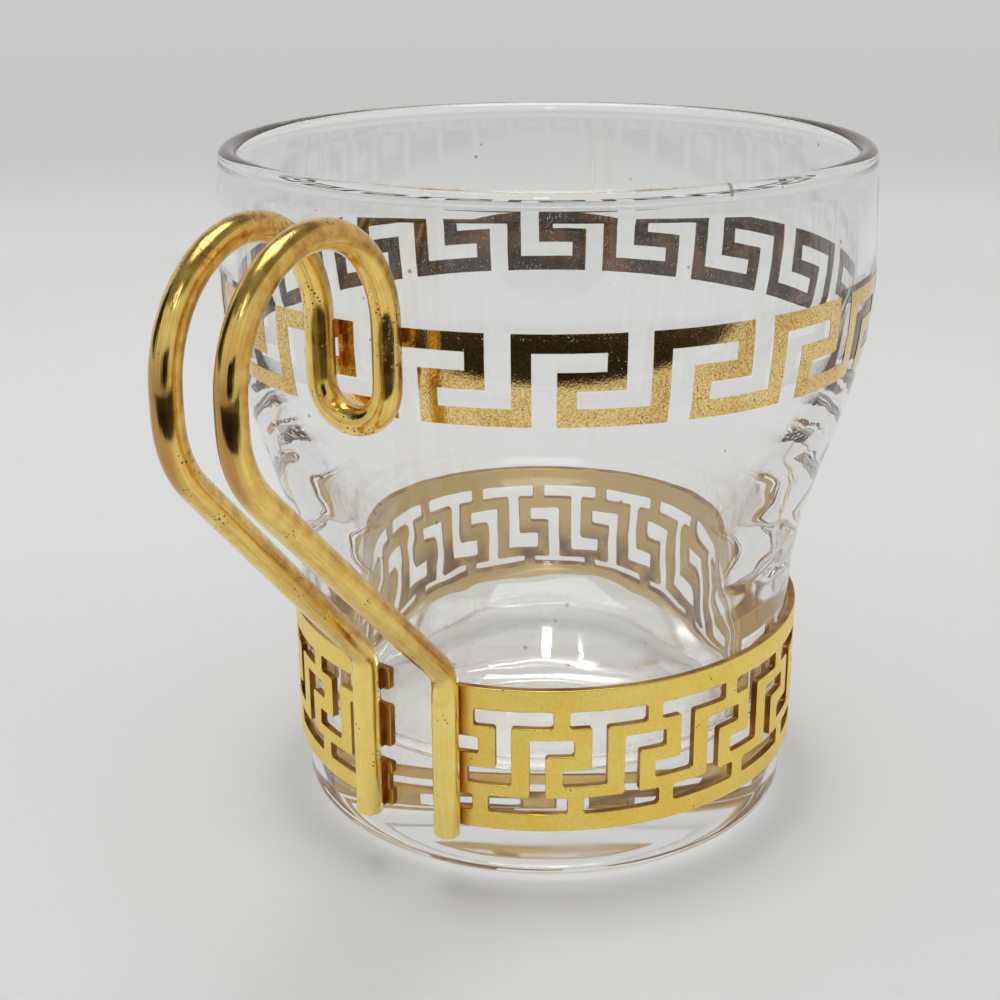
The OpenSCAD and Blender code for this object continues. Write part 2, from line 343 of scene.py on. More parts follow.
def shaped(name, start, build, sizes, finish=()):
    """A piece: the plain mesh that a node tree makes of a starting mesh. build writes the tree
    from its named sizes, and finish holds modifiers to run after it."""
    sockets = {int: "NodeSocketInt", float: "NodeSocketFloat",
               bpy.types.Material: "NodeSocketMaterial"}
    tree = bpy.data.node_groups.new(name, "GeometryNodeTree")
    tree.interface.new_socket("Geometry", in_out="INPUT", socket_type="NodeSocketGeometry")
    for size, value in sizes.items():
        tree.interface.new_socket(size, in_out="INPUT", socket_type=sockets[type(value)])
    tree.interface.new_socket("Geometry", in_out="OUTPUT", socket_type="NodeSocketGeometry")
    given = Socket(tree).node("NodeGroupInput")
    given.node("NodeGroupOutput", {"Geometry": build(given, given.sibling)})
    piece = bpy.data.objects.new(name, start)
    bpy.context.scene.collection.objects.link(piece)
    modifier = piece.modifiers.new(name, "NODES")
    modifier.node_group = tree
    for item in tree.interface.items_tree:
        if item.in_out == "INPUT" and item.name in sizes:
            modifier[item.identifier] = sizes[item.name]
    for kind, settings in finish:
        extra = piece.modifiers.new(kind, kind)
        for setting, value in settings.items():
            setattr(extra, setting, value)
    bpy.context.view_layer.update()
    evaluated = piece.evaluated_get(bpy.context.evaluated_depsgraph_get())
    made = bpy.data.meshes.new_from_object(evaluated)
    piece.modifiers.clear()
    piece.data = made
    made.name = name
    return piece


def sharpened(add, shape, angle):
    """Smooth faces, with the edges that turn by more than the angle left sharp."""
    smooth = add.node("GeometryNodeSetShadeSmooth", {"Geometry": shape, "Shade Smooth": True})
    turn = add.node("GeometryNodeInputMeshEdgeAngle")
    sharp = add.node("FunctionNodeCompare", {0: turn, 1: angle}, operation="GREATER_THAN")
    return add.node("GeometryNodeSetShadeSmooth", {
        "Geometry": smooth, "Selection": sharp, "Shade Smooth": False}, domain="EDGE")


def realized(add, shape, material):
    """The end of a piece's tree: instances made real, and the material set."""
    real = add.node("GeometryNodeRealizeInstances", {"Geometry": shape})
    return add.node("GeometryNodeSetMaterial", {"Geometry": real, "Material": material})


def round_axis(add, angle, radius, height):
    """The point at an angle from the handle, a radius from the mug's axis, and a height."""
    return add.node("ShaderNodeCombineXYZ", {
        "X": radius * add.sum("SINE", angle),
        "Y": radius * add.sum("COSINE", angle) * -1,
        "Z": height,
    })


def wrap_key(add, size):
    """Repeats one flat turn of the key, lays it on the belly and gives it its thickness."""
    line = add.node("GeometryNodeMeshLine", {"Count": size("Turns"), "Offset": (1, 0, 0)})
    copies = add.node("GeometryNodeInstanceOnPoints", {
        "Points": line, "Instance": size("Geometry")})
    flat = add.node("GeometryNodeRealizeInstances", {"Geometry": copies})
    x = add.node("ShaderNodeSeparateXYZ", {0: add.node("GeometryNodeInputPosition")})
    pitch = math.tau / size("Turns")

    def on_belly(along, above):
        height = size("Foot") + above
        flare = size("Flare height")
        share = add.node("ShaderNodeClamp", {
            "Value": (height - flare) / (size("Belly height") - flare)})
        grown = (1 - add.sum("COSINE", share * math.pi)) / 2
        radius = size("Base radius") + (size("Belly radius") - size("Base radius")) * grown
        angle = size("First turn") + along * pitch
        return round_axis(add, angle, radius - size("Sunk"), height)

    smooth = on_belly(x, x.sibling("Z"))
    ragged = add.node("ShaderNodeTexNoise", {"Vector": smooth, "Scale": 1500.0}, "Color")
    shift = add.node("ShaderNodeSeparateXYZ", {0: ragged})
    along = x + (shift - 0.5) * size("Rag") / (pitch * size("Belly radius"))
    laid = add.node("GeometryNodeSetPosition", {
        "Geometry": flat,
        "Position": on_belly(along, x.sibling("Z") + (shift.sibling("Z") - 0.5) * size("Rag"))})
    ring = add.node("GeometryNodeMergeByDistance", {"Geometry": laid, "Distance": 0.00002})
    place = add.node("GeometryNodeInputPosition")
    outward = add.vector("NORMALIZE", add.vector("MULTIPLY", place, (1, 1, 0)))
    raised = add.node("GeometryNodeExtrudeMesh", {
        "Mesh": ring, "Offset": outward, "Offset Scale": size("Thickness") + size("Sunk"),
        "Individual": False})
    both = add.node("GeometryNodeJoinGeometry")
    for part in (raised, add.node("GeometryNodeFlipFaces", {"Mesh": ring})):
        both.tree.links.new(part.socket, both.socket.node.inputs[0])
    closed = add.node("GeometryNodeMergeByDistance", {"Geometry": both, "Distance": 0.000005})
    gilded = realized(add, sharpened(add, closed, 0.6), size("Gold"))
    face = add.node("GeometryNodeInputNormal")
    facing = add.vector("DOT_PRODUCT", face, outward, output="Value")
    under = add.node("FunctionNodeCompare", {0: facing, 1: -0.5}, operation="LESS_THAN")
    return add.node("GeometryNodeSetMaterial", {
        "Geometry": gilded, "Selection": under, "Material": size("Underside")})


def worn_specks(add, place):
    """Where the print is worn through: pinholes, in drifts."""
    pin = add.node("ShaderNodeTexVoronoi", {"Vector": place, "Scale": 3200}, "Distance")
    few = add.node("ShaderNodeTexNoise", {"Vector": place, "Scale": 420, "Detail": 2})
    return pin.band(0.3, 0.22) * few.band(0.5, 0.62)


def fired_gold():
    """Bright fired gold: mirror-like under a fine grain, amber in the hollows."""
    material, add = new_material("fired_gold")
    place = add.node("ShaderNodeTexCoord", output="Object")
    grain = add.node("ShaderNodeTexNoise", {"Vector": place, "Scale": 4200, "Detail": 3})
    cloud = add.node("ShaderNodeTexNoise", {"Vector": place, "Scale": 130, "Detail": 3})
    tone = grain.band(0.36, 0.62) * 0.7 + cloud.band(0.35, 0.65) * 0.3
    relief = add.node("ShaderNodeBump", {
        "Height": grain, "Strength": 0.35, "Distance": 0.00002})
    gold = add.node("ShaderNodeBsdfPrincipled", {
        "Base Color": tone.colour((0.6, 0.32, 0.07), (1.0, 0.8, 0.36)),
        "Metallic": 1.0,
        "Roughness": 0.025 + 0.05 * cloud.band(0.4, 0.7),
        "Normal": relief,
        "Alpha": 1 - worn_specks(add, place),
    })
    add.node("ShaderNodeOutputMaterial", {"Surface": gold})
    return material


def gold_underside():
    """The face of the fired gold that lies on the glass: brown, with paler specks."""
    material, add = new_material("gold_underside")
    place = add.node("ShaderNodeTexCoord", output="Object")
    grain = add.node("ShaderNodeTexNoise", {"Vector": place, "Scale": 3600, "Detail": 3})
    cloud = add.node("ShaderNodeTexNoise", {"Vector": place, "Scale": 160, "Detail": 3})
    speck = grain.band(0.6, 0.72)
    patch = cloud.band(0.42, 0.7)
    brown = patch.colour((0.05, 0.02, 0.006), (0.3, 0.13, 0.04))
    under = add.node("ShaderNodeBsdfPrincipled", {
        "Base Color": speck.colour(brown, (0.75, 0.48, 0.25)),
        "Roughness": 0.9,
        "Specular IOR Level": 0.0,
        "Alpha": 1 - worn_specks(add, place),
    })
    add.node("ShaderNodeOutputMaterial", {"Surface": under})
    return material


key = shaped("printed_key", key_turn_sheet(), wrap_key, {
    "Turns": turns,
    "First turn": first_turn,
    "Foot": key_foot,
    "Base radius": base_radius,
    "Belly radius": belly_radius,
    "Flare height": flare_height,
    "Belly height": belly_height,
    "Thickness": gold_thickness,
    "Sunk": gold_sunk,
    "Rag": key_rag,
    "Gold": fired_gold(),
    "Underside": gold_underside(),
})
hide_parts("gold_key")
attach(key, "glass")


# The holder's band: a strip of plated metal, pierced with two interlocked rows of openings that
# leave a key between two rails, its edges rounded by tumbling, bent round and left open, so that
# it springs on to the glass.
band_low, band_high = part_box("holder_band")
band_height = band_high.z - band_low.z
band_thickness = 0.001
grip_gap = 0.00008
band_outside = base_radius + grip_gap + band_thickness
band_opening = 0.0065
band_end = math.asin(band_opening / 2 / band_outside)
strip_length = (math.tau - 2 * band_end) * band_outside
pitch = 0.01182
bottom_rail = 0.00235
top_rail = 0.0029
slot_height = 0.0022
middle_bar = 0.0019
thin_bar = (band_height - top_rail - bottom_rail - middle_bar - 4 * slot_height) / 2
slot_feet = [
    bottom_rail,
    bottom_rail + slot_height + thin_bar,
    bottom_rail + 2 * slot_height + thin_bar + middle_bar,
    bottom_rail + 3 * slot_height + 2 * thin_bar + middle_bar,
]
corner_radius = 0.0004
edge_radius = 0.00014


def opening_slots():
    """Every slot of the pattern as (x0, x1, z0, z1) on the flat strip. An opening is a long
    slot, a stem and a foot slot; its partner is the same one turned half a turn."""
    first_start, long_share, span = 0.42, 0.83, 0.98
    stem_start, stem_end, foot_start = 0.232, 0.395, -0.07
    foot0, foot1, foot2, foot3 = slot_feet
    slots = []
    for turn in range(-1, math.ceil(strip_length / pitch)):
        start = turn + first_start
        for x0, x1, z0, z1 in [
            (0, long_share, foot3, foot3 + slot_height),
            (stem_start, stem_end, foot1, foot3),
            (foot_start, stem_end, foot1, foot1 + slot_height),
            (span - long_share, span, foot0, foot0 + slot_height),
            (span - stem_end, span - stem_start, foot0, foot2 + slot_height),
            (span - stem_end, span - foot_start, foot2, foot2 + slot_height),
        ]:
            slots.append(((start + x0) * pitch, (start + x1) * pitch, z0, z1))
    return slots


def traced_outlines():
    """Corner points of the strip's own edge and of each opening, the metal on the left."""
    slots = opening_slots()
    xs = sorted({0, strip_length, *[min(max(x, 0), strip_length) for s in slots for x in s[:2]]})
    zs = sorted({0, band_height, *[z for s in slots for z in s[2:]]})
    edges = {}
    for x0, x1 in zip(xs, xs[1:]):
        near = [s for s in slots if s[0] < (x0 + x1) / 2 < s[1]]
        for z0, z1 in zip(zs, zs[1:]):
            if any(s[2] < (z0 + z1) / 2 < s[3] for s in near):
                continue
            ring = [(x0, z0), (x1, z0), (x1, z1), (x0, z1)]
            for a, b in zip(ring, ring[1:] + ring[:1]):
                if edges.get(b) and a in edges[b]:
                    edges[b].remove(a)
                else:
                    edges.setdefault(a, []).append(b)
    outlines = []
    while any(edges.values()):
        start = next(point for point in edges if edges[point])
        loop = [start]
        while True:
            following = edges[loop[-1]].pop()
            if following == start:
                break
            loop.append(following)
        outlines.append([p for before, p, after in zip(loop[-1:] + loop, loop, loop[1:] + loop[:1])
                         if not (before[0] == p[0] == after[0] or before[1] == p[1] == after[1])])
    return outlines


def filleted(corners, radius):
    """The outline with each of its square corners rounded."""
    points = []
    for before, corner, after in zip(corners[-1:] + corners, corners, corners[1:] + corners[:1]):
        corner, before, after = Vector(corner), Vector(before), Vector(after)
        into, out = corner - before, after - corner
        r = min(radius, into.length * 0.45, out.length * 0.45)
        into.normalize()
        out.normalize()
        for t in steps(0, 90, 4):
            turn = math.radians(t)
            points.append(corner - into * r * (1 - math.sin(turn)) + out * r * (1 - math.cos(turn)))
    return points


def flat_strip():
    """The pierced strip before it is bent: x along it, y up, z outward, with rounded edges."""
    curve = bpy.data.curves.new("strip", "CURVE")
    curve.dimensions = "2D"
    curve.fill_mode = "BOTH"
    curve.extrude = band_thickness / 2 - edge_radius
    curve.bevel_depth = edge_radius
    curve.bevel_resolution = 2
    curve.offset = -edge_radius
    for corners in traced_outlines():
        points = filleted(corners, corner_radius)
        spline = curve.splines.new("POLY")
        spline.points.add(len(points) - 1)
        for made, point in zip(spline.points, points):
            made.co = (point.x, point.y, 0, 1)
        spline.use_cyclic_u = True
    carrier = bpy.data.objects.new("strip", curve)
    bpy.context.scene.collection.objects.link(carrier)
    bpy.context.view_layer.update()
    evaluated = carrier.evaluated_get(bpy.context.evaluated_depsgraph_get())
    data = bpy.data.meshes.new_from_object(evaluated)
    bpy.data.objects.remove(carrier)
    strip = bmesh.new()
    strip.from_mesh(data)
    weld, on_plane, longest = 0.000002, 0.000001, 0.0009
    bmesh.ops.remove_doubles(strip, verts=strip.verts, dist=weld)
    for x in steps(0, strip_length, math.ceil(strip_length / longest))[1:-1]:
        bmesh.ops.bisect_plane(strip, geom=strip.verts[:] + strip.edges[:] + strip.faces[:],
                               dist=on_plane, plane_co=(x, 0, 0), plane_no=(1, 0, 0))
    bmesh.ops.recalc_face_normals(strip, faces=strip.faces)
    strip.to_mesh(data)
    strip.free()
    return data


def bend_strip(add, size):
    """Bends the flat strip round the glass."""
    x = add.node("ShaderNodeSeparateXYZ", {0: add.node("GeometryNodeInputPosition")})
    angle = size("End angle") + x / size("Outside radius")
    radius = size("Outside radius") - size("Thickness") / 2 + x.sibling("Z")
    bent = add.node("GeometryNodeSetPosition", {
        "Geometry": size("Geometry"),
        "Position": round_axis(add, angle, radius, x.sibling("Y") + size("Foot"))})
    smooth = add.node("GeometryNodeSetShadeSmooth", {"Geometry": bent, "Shade Smooth": True})
    return realized(add, smooth, size("Plate"))


def satin_plate():
    """Satin gold-coloured plate: fine grain and pits on the faces, brown in the cut edges and in
    a stripe along the inside, tarnished orange and dark red beside the legs."""
    material, add = new_material("satin_gold_plate")
    place = add.node("ShaderNodeTexCoord", output="Object")
    face = add.node("ShaderNodeNewGeometry", output="Normal")
    outward = add.vector("NORMALIZE", add.vector("MULTIPLY", place, (1, 1, 0)))
    facing = add.vector("DOT_PRODUCT", face, outward, output="Value")
    grain = add.node("ShaderNodeTexNoise", {"Vector": place, "Scale": 2600, "Detail": 4})
    cloud = add.node("ShaderNodeTexNoise", {"Vector": place, "Scale": 150, "Detail": 4})
    pit = add.node("ShaderNodeTexVoronoi", {"Vector": place, "Scale": 1500}, "Distance")
    rare = add.node("ShaderNodeTexNoise", {"Vector": place, "Scale": 330, "Detail": 2})
    pits = pit.band(0.22, 0.12) * rare.band(0.6, 0.7)
    apart = add.node("ShaderNodeSeparateXYZ", {0: place})
    rise = apart.sibling("Z")
    angle = abs(add.sum("ARCTAN2", apart, apart.sibling("Y") * -1))
    leg_angle = 0.16
    near_leg = angle.band(leg_angle + 0.08, leg_angle + 0.035)
    beside_leg = near_leg * (0.55 + 0.45 * cloud.band(0.35, 0.6))
    tone = grain.band(0.38, 0.62) * 0.5 + cloud.band(0.32, 0.66) * 0.5
    gold = tone.colour((1.0, 0.66, 0.11), (1.0, 0.8, 0.22))
    outside = facing.band(0.08, 0.4)
    edge = outside * facing.band(0.97, 0.9)
    inside = facing.band(-0.6, -0.9)
    brown = cloud.band(0.35, 0.65).colour((0.24, 0.09, 0.022), (0.58, 0.3, 0.08))
    stripe = rise.band(0.0185, 0.0145) * rise.band(0.0095, 0.0115)
    dull = (stripe * cloud.band(0.62, 0.4)).colour((1.0, 0.7, 0.22), (0.3, 0.16, 0.06))
    tarnish = cloud.band(0.3, 0.62).colour((0.24, 0.07, 0.02), (0.6, 0.26, 0.06))
    bare = inside.colour(outside.colour(brown, gold), dull)
    stained = beside_leg.colour(bare, tarnish)
    relief = add.node("ShaderNodeBump", {
        "Height": grain - pits, "Strength": 0.5, "Distance": 0.00003})
    plate = add.node("ShaderNodeBsdfPrincipled", {
        "Base Color": (pits * 0.8).colour(stained, (0.12, 0.05, 0.02)),
        "Metallic": 1.0 - 0.25 * inside,
        "Roughness": 0.3 + 0.08 * cloud + 0.12 * inside - 0.18 * edge,
        "Normal": relief,
    })
    add.node("ShaderNodeOutputMaterial", {"Surface": plate})
    return material


band = shaped("pierced_band", flat_strip(), bend_strip, {
    "End angle": band_end,
    "Outside radius": band_outside,
    "Thickness": band_thickness,
    "Foot": band_low.z,
    "Plate": satin_plate(),
}, [("WEIGHTED_NORMAL", {"keep_sharp": False, "weight": 50})])
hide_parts("holder_band")
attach(band, "holder")


# The brazing: thin brown fillets that hold the two legs of the handle to the ends of the band.
def brown_braze():
    """Oxidised brazing metal: dark red-brown, blotched and rough."""
    material, add = new_material("brown_braze")
    place = add.node("ShaderNodeTexCoord", output="Object")
    cloud = add.node("ShaderNodeTexNoise", {"Vector": place, "Scale": 420, "Detail": 4})
    grain = add.node("ShaderNodeTexNoise", {"Vector": place, "Scale": 2400, "Detail": 2})
    relief = add.node("ShaderNodeBump", {
        "Height": cloud + grain * 0.3, "Strength": 0.5, "Distance": 0.0001})
    metal = add.node("ShaderNodeBsdfPrincipled", {
        "Base Color": cloud.band(0.35, 0.7).colour((0.14, 0.035, 0.012), (0.46, 0.17, 0.05)),
        "Metallic": 0.8,
        "Roughness": 0.3 + 0.25 * grain,
        "Normal": relief,
    })
    add.node("ShaderNodeOutputMaterial", {"Surface": metal})
    return material


braze_metal = brown_braze()
for side in ("left_braze", "right_braze"):
    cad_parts[side].material_slots[0].material = braze_metal


# The handle: one length of bright plated wire. Its ends are brazed upright to the ends of the
# band, with a flat pressed on each; it slants out, loops over and curls back against the glass.
wire_radius = 0.00165
leg_spread = 0.0114
loop_spread = 0.0079
curl_spread = 0.0087
leg_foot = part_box("wire_handle")[0].z
braze_thickness = 0.00015
leg_circle = band_outside + braze_thickness + wire_radius
leg_out = math.sqrt(leg_circle ** 2 - (leg_spread / 2) ** 2)
elbow_height = 0.0289
elbow_radius = 0.0036
slant = math.radians(45.5)
hip_radius = 0.0115
reach = 0.0696
crown_height = 0.0845
crown_flat = 0.0004
curl_height = 0.0616
curl_gap = 0.00045
curl_out = belly_radius + gold_thickness + curl_gap + wire_radius
outer_share = 0.54
leg_flat = 0.00035


def handle_side():
    """Middle line of the handle's right side, from the foot of its leg to the curl's lowest point."""
    lean = math.atan((leg_spread - loop_spread) / 2 / (reach - leg_out))
    run = (reach - leg_out) / math.cos(lean)
    elbow_cut = elbow_radius * math.tan((math.pi / 2 - slant) / 2)
    hip_cut = hip_radius * math.tan((math.pi / 2 - slant) / 2)
    hip_height = elbow_height + run * math.tan(slant)
    outer = (reach - curl_out - crown_flat) * outer_share
    inner = (reach - curl_out - crown_flat) * (1 - outer_share)
    curl_radius = curl_spread / 2
    tilt = math.degrees(slant)
    lower = [(0, leg_foot), (0, leg_foot + 0.0008)]
    lower += arc(elbow_radius, elbow_height - elbow_cut, elbow_radius, 180, tilt + 90, 10)
    lower += arc(run - hip_radius, hip_height + hip_cut, hip_radius, tilt - 90, 0, 20)
    upper = arc(reach - outer, crown_height - outer, outer, 0, 90, 40)
    upper += arc(curl_out + inner, crown_height - inner, inner, 90, 180, 36)
    curl = arc(0, curl_height + curl_radius, curl_radius, 0, -90, 20)
    path = [Vector((leg_spread / 2 - x * math.sin(lean), -leg_out - x * math.cos(lean), z))
            for x, z in lower]
    splay = (curl_spread - loop_spread) / 2 / (reach - curl_out)
    path += [Vector((loop_spread / 2 + (reach - x) * splay, -x, z)) for x, z in upper]
    return path + [Vector((x, -curl_out, z)) for x, z in curl]


def handle_line(spacing):
    """The whole middle line as a chain of points, close together at the wire's two ends."""
    end_steps = (0, 0.00003, 0.0001, 0.0002, 0.00034)
    right = handle_side()
    corners = [Vector((-p.x, p.y, p.z)) for p in right] + right[-2::-1]
    chain = [corners[0] + Vector((0, 0, step)) for step in end_steps]
    for a, b in zip(corners, corners[1:]):
        pieces = max(1, round((b - a).length / spacing))
        chain += [a.lerp(b, share) for share in steps(0, 1, pieces)[1:]]
    chain = chain[:-1] + [Vector((-p.x, p.y, p.z)) for p in chain[4::-1]]
    data = bpy.data.meshes.new("handle line")
    data.from_pydata(chain, [(i, i + 1) for i in range(len(chain) - 1)], [])
    return data


def draw_wire(add, size):
    """Round wire along the line: bends eased, ends rounded, a flat on each leg's front and a
    slanted crease across the front of each elbow."""
    place = add.node("GeometryNodeInputPosition")
    high = add.node("ShaderNodeSeparateXYZ", {0: place}, "Z")
    line = add.node("GeometryNodeMeshToCurve", {"Mesh": size("Geometry")})
    eased = add.node("GeometryNodeBlurAttribute", {"Value": place, "Iterations": size("Easing")},
                     data_type="FLOAT_VECTOR")
    above = add.node("FunctionNodeCompare", {0: high, 1: size("Leg foot") + 0.004},
                     operation="GREATER_THAN")
    line = add.node("GeometryNodeSetPosition", {
        "Geometry": line, "Selection": above, "Position": eased})
    along = add.node("GeometryNodeSplineParameter", output="Length")
    whole = add.node("GeometryNodeSplineLength")
    from_end = add.sum("MINIMUM", along, whole - along)
    short = 1 - add.sum("MINIMUM", from_end / size("End rounding"), 1.0)
    inset = size("End rounding") * (1 - add.sum("SQRT", 1 - short * short))
    line = add.node("GeometryNodeStoreNamedAttribute", {
        "Geometry": line, "Name": "along", "Value": along}, data_type="FLOAT", domain="POINT")
    ring = add.node("GeometryNodeCurvePrimitiveCircle", {
        "Resolution": size("Sides"), "Radius": size("Wire radius")})
    ring = add.node("GeometryNodeStoreNamedAttribute", {
        "Geometry": ring, "Name": "round", "Value": add.vector("NORMALIZE", place)},
        data_type="FLOAT_VECTOR", domain="POINT")
    tube = add.node("GeometryNodeCurveToMesh", {
        "Curve": line, "Profile Curve": ring, "Scale": 1 - inset / size("Wire radius"),
        "Fill Caps": True})
    apart = add.node("ShaderNodeSeparateXYZ", {0: place})
    out = apart.sibling("Y") * -1
    rise = apart.sibling("Z")
    elbow = size("Elbow height")
    from_leg = out - size("Leg out")
    across = apart - size("Leg spread") / 2 * add.sum("SIGN", apart)
    eases = rise.band(elbow - 0.0035, elbow - 0.0008) * 0.1
    pressed = add.sum("MINIMUM", out, size("Leg out") + size("Wire radius") - size("Flat") + eases)
    from_crease = (rise - across * 0.5 - elbow + 0.0013) / 0.0004
    on_front = from_leg.band(0.0002, 0.0014) * from_leg.band(0.0026, 0.0022)
    dip = add.sum("EXPONENT", from_crease * from_crease * -1) * size("Crease")
    dent = dip * on_front * across.band(0.0008, -0.0006)
    shaped_wire = add.node("GeometryNodeSetPosition", {
        "Geometry": tube,
        "Position": add.node("ShaderNodeCombineXYZ", {
            "X": apart, "Y": (pressed - dent) * -1, "Z": rise})})
    return realized(add, sharpened(add, shaped_wire, 1.2), size("Plate"))


def bright_plate():
    """Bright gold-coloured plate on drawn wire under a thin lacquer: fine lines along it, legs
    painted paler as a painted highlight, amber on the inner sides and on the loops' tops that is
    partly tarnish and partly painted darker reflection, brown on the outermost bends that is
    partly tarnish and partly painted dark reflection, brown specks on the far loop's crown, and
    clusters of small pits."""
    material, add = new_material("bright_gold_plate")
    place = add.node("ShaderNodeTexCoord", output="Object")
    round_wire = add.node("ShaderNodeAttribute", output="Vector", attribute_name="round")
    along = add.node("ShaderNodeAttribute", output="Fac", attribute_name="along")
    drawn = add.vector("ADD", add.vector("MULTIPLY", round_wire, (3, 3, 3)),
                       add.node("ShaderNodeCombineXYZ", {"Z": along * 60}))
    lines = add.node("ShaderNodeTexNoise", {"Vector": drawn, "Scale": 3, "Detail": 4})
    cloud = add.node("ShaderNodeTexNoise", {"Vector": place, "Scale": 170, "Detail": 4})
    grain = add.node("ShaderNodeTexNoise", {"Vector": place, "Scale": 2600, "Detail": 3})
    pit = add.node("ShaderNodeTexVoronoi", {"Vector": place, "Scale": 1900}, "Distance")
    rare = add.node("ShaderNodeTexNoise", {"Vector": place, "Scale": 190, "Detail": 2})
    pits = pit.band(0.3, 0.18) * rare.band(0.56, 0.64)
    apart = add.node("ShaderNodeSeparateXYZ", {0: place})
    out = apart.sibling("Y") * -1
    rise = apart.sibling("Z")
    face = add.node("ShaderNodeNewGeometry", output="Normal")

    def turned_to(way):
        """1 where the surface faces this way, and -1 where it faces away."""
        return add.vector("DOT_PRODUCT", face, way, output="Value")

    slanted = rise.band(0.026, 0.03) * rise.band(0.066, 0.058) * (out - curl_out).band(-0.009, -0.006)
    looped = rise.band(0.058, 0.066)
    uneven = cloud - 0.5
    # Amber on the inner sides of the slanted wires and the loops, and on the loops' tops: partly
    # tarnish, partly painted darker reflection.
    hollow = slanted * (turned_to((0.62, 0.33, 0.71)) + 0.35 * uneven).band(0.2, 0.9) * 0.8
    loop_side_tarnish_and_reflection = looped * (turned_to((0.62, 0.75, 0.2)) + 0.5 * uneven).band(0.1, 0.75)
    # Brown on the outermost bends where they face outward: partly tarnish, partly painted dark
    # reflection.
    outermost = rise.band(0.055, 0.062) * rise.band(0.078, 0.071)
    outermost = outermost * (out - reach).band(-0.003, -0.0005)
    tarnish_and_dark_reflection = outermost * turned_to((-0.2, -0.98, 0)).band(0.3, 0.85) * 0.75
    upper = turned_to((0.25, 0, 0.97)) + 0.4 * uneven
    loop_top_tarnish_and_reflection = rise.band(0.077, 0.083) * upper.band(0.3, 0.9) * 0.6
    # This tarnish mask and the amber it brings are partly painted darker reflection.
    tarnish = add.sum("MAXIMUM", hollow, add.sum("MAXIMUM", loop_side_tarnish_and_reflection, loop_top_tarnish_and_reflection))
    far_side = apart.band(-0.0015, -0.003)
    crown = rise.band(0.079, 0.084) * far_side * grain.band(0.46, 0.6) * cloud.band(0.4, 0.55)
    blotch = add.node("ShaderNodeTexNoise", {"Vector": place, "Scale": 520, "Detail": 5})
    tone = lines.band(0.34, 0.66) * 0.6 + blotch.band(0.36, 0.62) * 0.4
    loop_gold = tone.colour((0.84, 0.5, 0.1), (1.0, 0.78, 0.22))
    # The legs are painted paler below the elbows: a painted highlight.
    leg_gold_painted_highlight = tone.colour((1.0, 0.7, 0.16), (1.0, 0.84, 0.26))
    plate_gold_with_leg_highlight = rise.band(0.033, 0.028).colour(loop_gold, leg_gold_painted_highlight)
    gold = tarnish_and_dark_reflection.colour(plate_gold_with_leg_highlight, (0.42, 0.18, 0.045))
    amber = blotch.band(0.35, 0.65).colour((0.62, 0.3, 0.045), (0.9, 0.56, 0.11))
    stained = (crown * 0.8).colour(tarnish.colour(gold, amber), (0.3, 0.11, 0.025))
    relief = add.node("ShaderNodeBump", {
        "Height": lines * 2 + grain * 0.3 - pits * 2, "Strength": 0.35, "Distance": 0.00004})
    plate = add.node("ShaderNodeBsdfPrincipled", {
        "Base Color": pits.colour(stained, (0.05, 0.02, 0.01)),
        "Metallic": 1.0 - 0.4 * pits,
        "Roughness": 0.08 + 0.07 * blotch.band(0.35, 0.65) + 0.12 * tarnish,
        "Coat Weight": 0.5,
        "Coat Roughness": 0.06,
        "Normal": relief,
    })
    add.node("ShaderNodeOutputMaterial", {"Surface": plate})
    return material


handle = shaped("looped_handle", handle_line(0.00035), draw_wire, {
    "Sides": 40,
    "Easing": 8,
    "Wire radius": wire_radius,
    "End rounding": 0.0005,
    "Leg foot": leg_foot,
    "Leg out": leg_out,
    "Elbow height": elbow_height,
    "Flat": leg_flat,
    "Crease": 0.0002,
    "Leg spread": leg_spread,
    "Plate": bright_plate(),
})
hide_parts("wire_handle")
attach(handle, "holder")


# The studio: a round pale floor that turns up into a low wall, a wide soft lamp overhead, two
# narrow ones for the long highlights, and dark flags that only the reflections show.
floor_reach = 0.42
floor_fillet = 0.05
wall_top = 0.42


def pale_cove():
    """Pale matt paper with a painted pool of light under the glass, standing in for the light that
    the glass's foot gathers there. The wall glows plain light grey however the lamps fall on it:
    painted light, darker towards the floor as painted shade at the join."""
    material, add = new_material("pale_cove")
    place = add.node("ShaderNodeTexCoord", output="Object")
    rise = add.node("ShaderNodeSeparateXYZ", {0: place}, "Z")
    wide = add.node("ShaderNodeTexNoise", {"Vector": place, "Scale": 4, "Detail": 2})
    paper_tone = wide.band(0.3, 0.7).colour((0.72, 0.72, 0.715), (0.75, 0.75, 0.745))
    from_glass = add.vector("LENGTH", add.vector("MULTIPLY", place, (1, 1, 0)), output="Value")
    # Painted pool of light: the paper is brighter under the glass, for the light its foot gathers.
    tone = from_glass.band(0.034, 0.027).colour(paper_tone, (0.84, 0.84, 0.83))
    paper = add.node("ShaderNodeBsdfPrincipled", {
        "Base Color": tone, "Roughness": 0.8, "Specular IOR Level": 0.2})
    # Painted light: the wall glows for the camera, reflections and the glass, darker towards the
    # floor as painted shade at the join.
    light = rise.band(0.0, 0.16).colour((0.55, 0.55, 0.545), (0.63, 0.63, 0.625))
    painted_wall_glow = add.node("ShaderNodeEmission", {"Color": light, "Strength": 1.0})
    path = add.node("ShaderNodeLightPath", output="Is Camera Ray")
    seen = add.sum("MAXIMUM", path, add.sum("MAXIMUM", path.sibling("Is Glossy Ray"),
                                            path.sibling("Is Transmission Ray")))
    wall_share = rise.band(0.0, 0.05)
    cove = add.node("ShaderNodeMixShader", {0: seen * wall_share, 1: paper, 2: painted_wall_glow})
    add.node("ShaderNodeOutputMaterial", {"Surface": cove})
    return material


